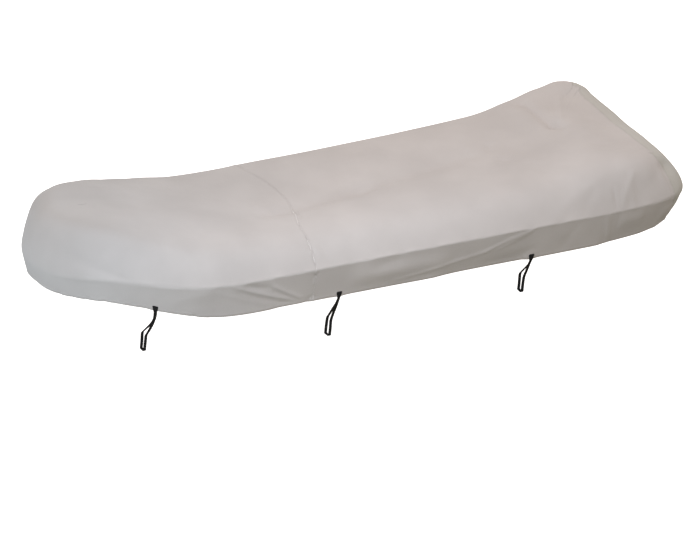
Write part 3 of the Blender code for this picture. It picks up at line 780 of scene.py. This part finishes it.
# Spun polyester thread, matt and a shade darker than the canvas.
thread, _ = plain_material("polyester_thread", "#B3AEAB", 0.7)
bow_rows = [across_cover(CROSS_RUN - FROM_SEAM)]
bow_rows += [along_hem(side, 0, CROSS_RUN) for side in SIDES]
main_rows = [across_cover(CROSS_RUN + FROM_SEAM)]
main_rows += [along_hem(side, CROSS_RUN, CORNER_RUN) for side in SIDES]
main_rows += [up_corner(side, CORNER_RUN - FROM_SEAM) for side in SIDES]
main_rows += [along_crest(side, FROM_SEAM) for side in SIDES]
stern_rows = [along_hem(side, CORNER_RUN, END_RUN) for side in SIDES]
stern_rows += [up_corner(side, CORNER_RUN + FROM_SEAM) for side in SIDES]
stern_rows += [along_crest(side, -FROM_SEAM) for side in SIDES]
bow_stitching = stitching("bow_stitching", bow_rows, thread)
main_stitching = stitching("main_stitching", main_rows, thread)
stern_stitching = stitching("stern_stitching", stern_rows, thread)

canvas = polyester_canvas("polyester_canvas", "#C7C2BF", "#BFBAB7")
stern_canvas = polyester_canvas("polyester_canvas_stern", "#C0BEB8", "#B9B7B0")
for panel, node, slot, cloth_used, sewn, flat, area in (
        (bow, "bow_panel", "bow_cloth", canvas, bow_stitching, (2.15, 2.05), 3.2),
        (main, "main_panel", "main_cloth", canvas, main_stitching, (2.70, 2.05), 4.7),
        (stern, "stern_panel", "stern_cloth", stern_canvas, stern_stitching, (1.65, 0.46), 0.67)):
    panel.data.materials.append(cloth_used)
    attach(panel, "root")
    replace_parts(panel, node)


# ---- The ties ----
# Six ties of black polypropylene webbing, three on each side. A flared tab, sewn on over the hem,
# holds both ends of a strap that loops down round the trailer's rail, which is left out.
TAB_OFF = 0.0003                         # a tab's back lies this far off the cloth
TAB_THICK, TAB_FOOT, TAB_HEAD = 0.0041, -0.005, 0.038
TAB_WORN = 0.0012                        # width of its worn edge
WEBBING, WEBBING_WIDE = 0.0015, 0.020    # thickness and width of a strap
STRAP_WAVE = 0.0012                      # how far a strap wanders from its straight line
RAIL_HIGH, RAIL_WIDE = 0.100, 0.050

# Polypropylene webbing, dyed black and woven in a fine herringbone of 2 mm, a little shiny on the
# yarns. Its low ribs are in the mesh.
HERRINGBONE = 0.0021     # drawn as coarse as this to show
black_webbing, webbing_shader = new_material("black_polypropylene")
woven = add_node(black_webbing, "UVMap", uv_map="webbing").outputs["UV"]
herringbone = add_node(black_webbing, "TexWave", {"Vector": woven}, bands_direction="DIAGONAL",
                       in_Scale=WAVE / HERRINGBONE, in_Distortion=1.0, in_Detail_Scale=3.0).outputs["Fac"]
yarn_tone = add_node(black_webbing, "Mix", {"Factor": herringbone}, data_type="RGBA",
                     in_6=linear("#0B0B0D"), in_7=linear("#1B1B1E"))
join(black_webbing, yarn_tone.outputs[2], webbing_shader, "Base Color")
yarn_bump = add_node(black_webbing, "Bump", {"Height": herringbone}, in_Strength=0.5, in_Distance=0.0002)
join(black_webbing, yarn_bump.outputs["Normal"], webbing_shader, "Normal")
webbing_shader.inputs["Roughness"].default_value = 0.62
webbing_shader.inputs["Specular IOR Level"].default_value = 0.3


def webbing_mesh(name, side, points, faces, places):
    """A mesh of webbing, with each point's place along and across the weave. Faces are for port."""
    faces = faces if side == PORT else [face[::-1] for face in faces]
    mesh = new_mesh(name, np.array(points).tolist(), faces)
    lay_flat(mesh, "webbing", np.array(places))
    mesh.shade_smooth()
    mesh.set_sharp_from_angle(angle=math.radians(50))
    mesh.materials.append(black_webbing)
    item = put_in(name, mesh)
    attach(item, "root")
    return item


def tab_spot(side, tie, share, high, off):
    """A point over the cloth: a share of the tab's half width from its middle, up the hem, and off."""
    half = np.interp(high, (TAB_FOOT, 0.030, 0.0345, TAB_HEAD), (0.011, 0.0175, 0.0170, 0.0130))
    ahead, behind = [on_cloth(side, tie.run + step, TAB_MIDDLE)[0] for step in (0.02, -0.02)]
    run_to_metre = 0.04 / np.linalg.norm(ahead - behind)
    place, out = on_cloth(side, tie.run + share * half * run_to_metre, high)
    return place + out * off, out


def add_tab(name, side, tie):
    """A fan of webbing with a worn round edge: its back and face as grids of points, and a rim."""
    shares = np.sin(np.linspace(-math.pi / 2, math.pi / 2, 17))
    highs = TAB_FOOT + (TAB_HEAD - TAB_FOOT) * (0.5 - 0.5 * np.cos(np.linspace(0, math.pi, 19)))
    ends = np.minimum(highs - TAB_FOOT, TAB_HEAD - highs) / TAB_WORN
    points, places = [], []
    for face_out in (0, 1):
        for high, end in zip(highs, ends):
            for share in shares:
                worn = min(1, end + 0.45) * (1 - 0.55 * abs(share) ** 14)
                off = TAB_OFF + face_out * TAB_THICK * worn
                points.append(tab_spot(side, tie, share, high, off)[0])
                places.append((high, share * 0.017))
    wide, count = len(shares), len(highs) * len(shares)
    faces = []
    for i in range(len(highs) - 1):
        for j in range(wide - 1):
            quad = (i * wide + j, i * wide + j + 1, (i + 1) * wide + j + 1, (i + 1) * wide + j)
            faces += [tuple(k + count for k in quad), quad[::-1]]
    ring = [*range(wide), *range(2 * wide - 1, count, wide)]
    ring += [*range(count - 2, count - wide - 1, -1), *range(count - 2 * wide, 0, -wide)]
    faces += [(a, b, b + count, a + count) for a, b in zip(ring, ring[1:] + ring[:1])]
    return webbing_mesh(name, side, points, faces, places)


def go_straight(start, end):
    """Points about 10 mm apart on a straight line, from its start, left out, to its end."""
    steps = max(int(np.linalg.norm(end - start) / 0.010), 1)
    return [start + (end - start) * k / steps for k in range(1, steps + 1)]


def rounded(corners, radii):
    """A path with each inner corner replaced by a short curve that reaches a radius back each way."""
    path = [corners[0]]
    for before, corner, after, radius in zip(corners, corners[1:], corners[2:], radii):
        start = corner + (before - corner) * radius / np.linalg.norm(before - corner)
        end = corner + (after - corner) * radius / np.linalg.norm(after - corner)
        path += go_straight(path[-1], start)[:-1]
        path += [start * (1 - f) ** 2 + corner * 2 * f * (1 - f) + end * f * f
                 for f in np.linspace(0, 1, 7)]
    return np.array(path + go_straight(path[-1], corners[-1]))


def add_strap(name, side, tie):
    """One ribbon, down in front of the rail, round it and back up, turning to lie square on the rail."""
    hem, out = on_cloth(side, tie.run, 0.0)
    up = on_cloth(side, tie.run, 0.03)[0] - hem
    up -= out * (up @ out)
    up /= np.linalg.norm(up)
    level = np.cross(up, out) * -side
    level_out = np.array([out[0], out[1], 0]) / np.hypot(out[0], out[1])
    down, off = -np.array([up @ level_out, up[2]]), np.array([out @ level_out, out[2]])
    middle = TAB_OFF + TAB_THICK / 2
    top = down * (-TAB_FOOT - 0.004)
    front, rear = off * (middle + WEBBING * 0.52), off * (middle - WEBBING * 0.52)
    rail_top = tie.rail - hem[2] - HOLD_HIGH
    outer_top = top + front + down * (rail_top - (top + front)[1]) / down[1]
    outer_foot = outer_top - [0, RAIL_HIGH]
    inner_foot, inner_top = outer_foot - [RAIL_WIDE, 0], outer_top - [RAIL_WIDE, 0]
    parting = top + down * tie.split
    path = rounded([top + front, parting + front, outer_top, outer_foot, inner_foot, inner_top,
                    parting + rear, top + rear], (0.020, 0.014, 0.007, 0.007, 0.014, 0.020))
    lines = np.diff(path, axis=0)
    lines /= np.linalg.norm(lines, axis=1)[:, None]
    turned = np.stack([-lines[:, 1], lines[:, 0]], axis=1)
    before, after = turned[[0, *range(len(turned))]], turned[[*range(len(turned)), -1]]
    across = (before + after) / (1 + np.sum(before * after, axis=1))[:, None]
    along = lengths_along(path)
    depth = path[0, 1] - path[:, 1]
    square = np.clip(depth / (path[0, 1] - rail_top), 0, 1)
    wide = np.sin(np.linspace(-math.pi / 2, math.pi / 2, 15))
    thick = WEBBING / 2 * (1 - 0.6 * abs(wide) ** 8) * (1 + 0.10 * np.cos(wide * math.pi * 5))
    ring = [(w, t) for w, t in zip(wide, thick)] + [(w, -t) for w, t in zip(wide[::-1], thick[::-1])]
    points, places = [], []
    for spot, turn, low, share, length in zip(path, across, depth, square, along):
        wide_way = level * (1 - share) + np.array([1, 0, 0]) * share
        out_way = level_out * (1 - share) + np.array([0, side, 0]) * share
        wide_way, out_way = wide_way / np.linalg.norm(wide_way), out_way / np.linalg.norm(out_way)
        sway = -tie.lean * low / depth.max() + STRAP_WAVE * math.sin(length * 31 + tie.run * 9)
        for w, t in ring:
            flat = spot + turn * t
            points.append(hem + np.array([sway, 0, 0]) + out_way * flat[0]
                          + np.array([0, 0, flat[1]]) + wide_way * w * WEBBING_WIDE / 2)
            places.append((length, w * WEBBING_WIDE / 2))
    size, last = len(ring), len(ring) * (len(path) - 1)
    faces = [tuple(range(size)), tuple(last + k for k in range(size - 1, -1, -1))]
    for start in range(0, last, size):
        faces += [(start + k, start + size + k, start + size + (k + 1) % size, start + (k + 1) % size)
                  for k in range(size)]
    return webbing_mesh(name, side, points, faces, places)


def tab_stitches(side, tie):
    """A row of stitches in a box round the tab, with a cross in it."""
    low, high = [(-0.72, 0.004), (0.72, 0.004)], [(-0.76, 0.030), (0.76, 0.030)]
    corners = [*low, high[1], high[0], low[0], high[1], low[1], high[0]]
    found = []
    for (s0, h0), (s1, h1) in zip(corners, corners[1:]):
        found += [tab_spot(side, tie, s0 + (s1 - s0) * f, h0 + (h1 - h0) * f, TAB_OFF + TAB_THICK)
                  for f in np.linspace(0, 1, 9)[:-1]]
    return as_row(found)


# Black polyester thread, with a low sheen against the webbing.
black_thread, _ = plain_material("black_thread", "#1A1A1C", 0.5)
for side, word in ((PORT, "port"), (STARBOARD, "starboard")):
    for count, tie in enumerate(TIES, 1):
        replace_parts(add_tab(f"webbing_tab_{word}_{count}", side, tie), f"tie_tab_{word}_{count}")
        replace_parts(add_strap(f"webbing_strap_{word}_{count}", side, tie), f"tie_strap_{word}_{count}")
tab_rows = [tab_stitches(side, tie) for side in SIDES for tie in TIES]
stitching("tab_stitching", tab_rows, black_thread)


# ---- Floor, light and camera ----
# A white floor that throws no light back, under a sky that is warm overhead, cool at eye level and
# dim below. One large lamp stands over the port side, one low off the port bow and one low behind
# the stem. The camera looks down over the port bow from far off, so that the lines stay parallel.
bpy.context.scene.view_settings.view_transform = "Standard"
FLOOR, FLOOR_REACH = -1.04, 60
floor_corners = [(x, y, FLOOR) for x in (-FLOOR_REACH, FLOOR_REACH) for y in (-FLOOR_REACH, FLOOR_REACH)]
floor_mesh = new_mesh("floor", floor_corners, [(0, 2, 3, 1)])
floor = put_in("floor", floor_mesh)
floor_paint, floor_shader = plain_material("pale_floor", "#F2F2F2", 0.9)
floor_shader.inputs["Emission Color"].default_value = (1, 1, 1, 1)
floor_shader.inputs["Emission Strength"].default_value = 1.0
floor_mesh.materials.append(floor_paint)
floor.visible_diffuse = False
floor.visible_glossy = False

# Colours of the sky from straight down (0) through level (0.5) to straight up (1).
EYE_LEVEL_SKY = (0.760, 0.770, 0.800, 1)
world = bpy.data.worlds.new("studio")
bpy.context.scene.world = world
world.use_nodes = True
backdrop = world.node_tree.nodes["Background"]
direction = add_node(world, "TexCoord").outputs["Generated"]
height = add_node(world, "SeparateXYZ", {0: direction}).outputs["Z"]
part_way = add_node(world, "MapRange", {"Value": height}, in_1=-1.0, in_2=1.0)
sky = add_node(world, "ValToRGB", {"Fac": part_way.outputs["Result"]})
stops = sky.color_ramp.elements
stops[0].position, stops[0].color = 0.45, (0.215, 0.200, 0.142, 1)
stops[1].position, stops[1].color = 0.675, (0.830, 0.752, 0.706, 1)
for position in (0.50, 0.575):
    stops.new(position).color = EYE_LEVEL_SKY
join(world, sky.outputs["Color"], backdrop, "Color")


def lamp(name, place, watts, radius, tint):
    data = bpy.data.lights.new(name, "POINT")
    data.energy = watts
    data.color = tint
    data.shadow_soft_size = radius
    item = put_in(name, data)
    item.location = place
    item.visible_camera = False


lamp("key", (-0.55, -2.0, 2.35), 119, 0.8, (0.84, 1.0, 1.19))
lamp("bow_fill", (-3.7, -2.35, -0.8), 215.5, 0.6, (0.89, 1.0, 1.15))
lamp("stem_rim", (-3.4, 2.2, -0.45), 76, 0.6, (0.87, 1.0, 1.18))

AZIMUTH, ELEVATION = math.radians(-25.5), math.radians(24.0)
PIXELS_TO_METRE = 170.0
PICTURE_WIDE = 700
COVER_MIDDLE = Vector((0.13, 0, -0.0905))
FROM_MIDDLE = (3, 75)            # pixels that it lies right of and above the picture's middle
CAMERA_AWAY = 80.0
SENSOR = 36.0
sin_turn, cos_turn = math.sin(AZIMUTH), math.cos(AZIMUTH)
sin_down, cos_down = math.sin(ELEVATION), math.cos(ELEVATION)
right = Vector((cos_turn, sin_turn, 0))
back = Vector((sin_turn * cos_down, -cos_turn * cos_down, sin_down))
up = Vector((-sin_turn * sin_down, cos_turn * sin_down, cos_down))
aside, above = [pixels / PIXELS_TO_METRE for pixels in FROM_MIDDLE]
target = COVER_MIDDLE - right * aside - up * above
camera_data = bpy.data.cameras.new("camera")
camera_data.sensor_width = SENSOR
camera_data.lens = SENSOR * CAMERA_AWAY * PIXELS_TO_METRE / PICTURE_WIDE
camera_data.clip_end = 300
camera = put_in("camera", camera_data)
camera.location = target + back * CAMERA_AWAY
camera.rotation_euler = (math.radians(90) - ELEVATION, 0, AZIMUTH)
bpy.context.scene.camera = camera
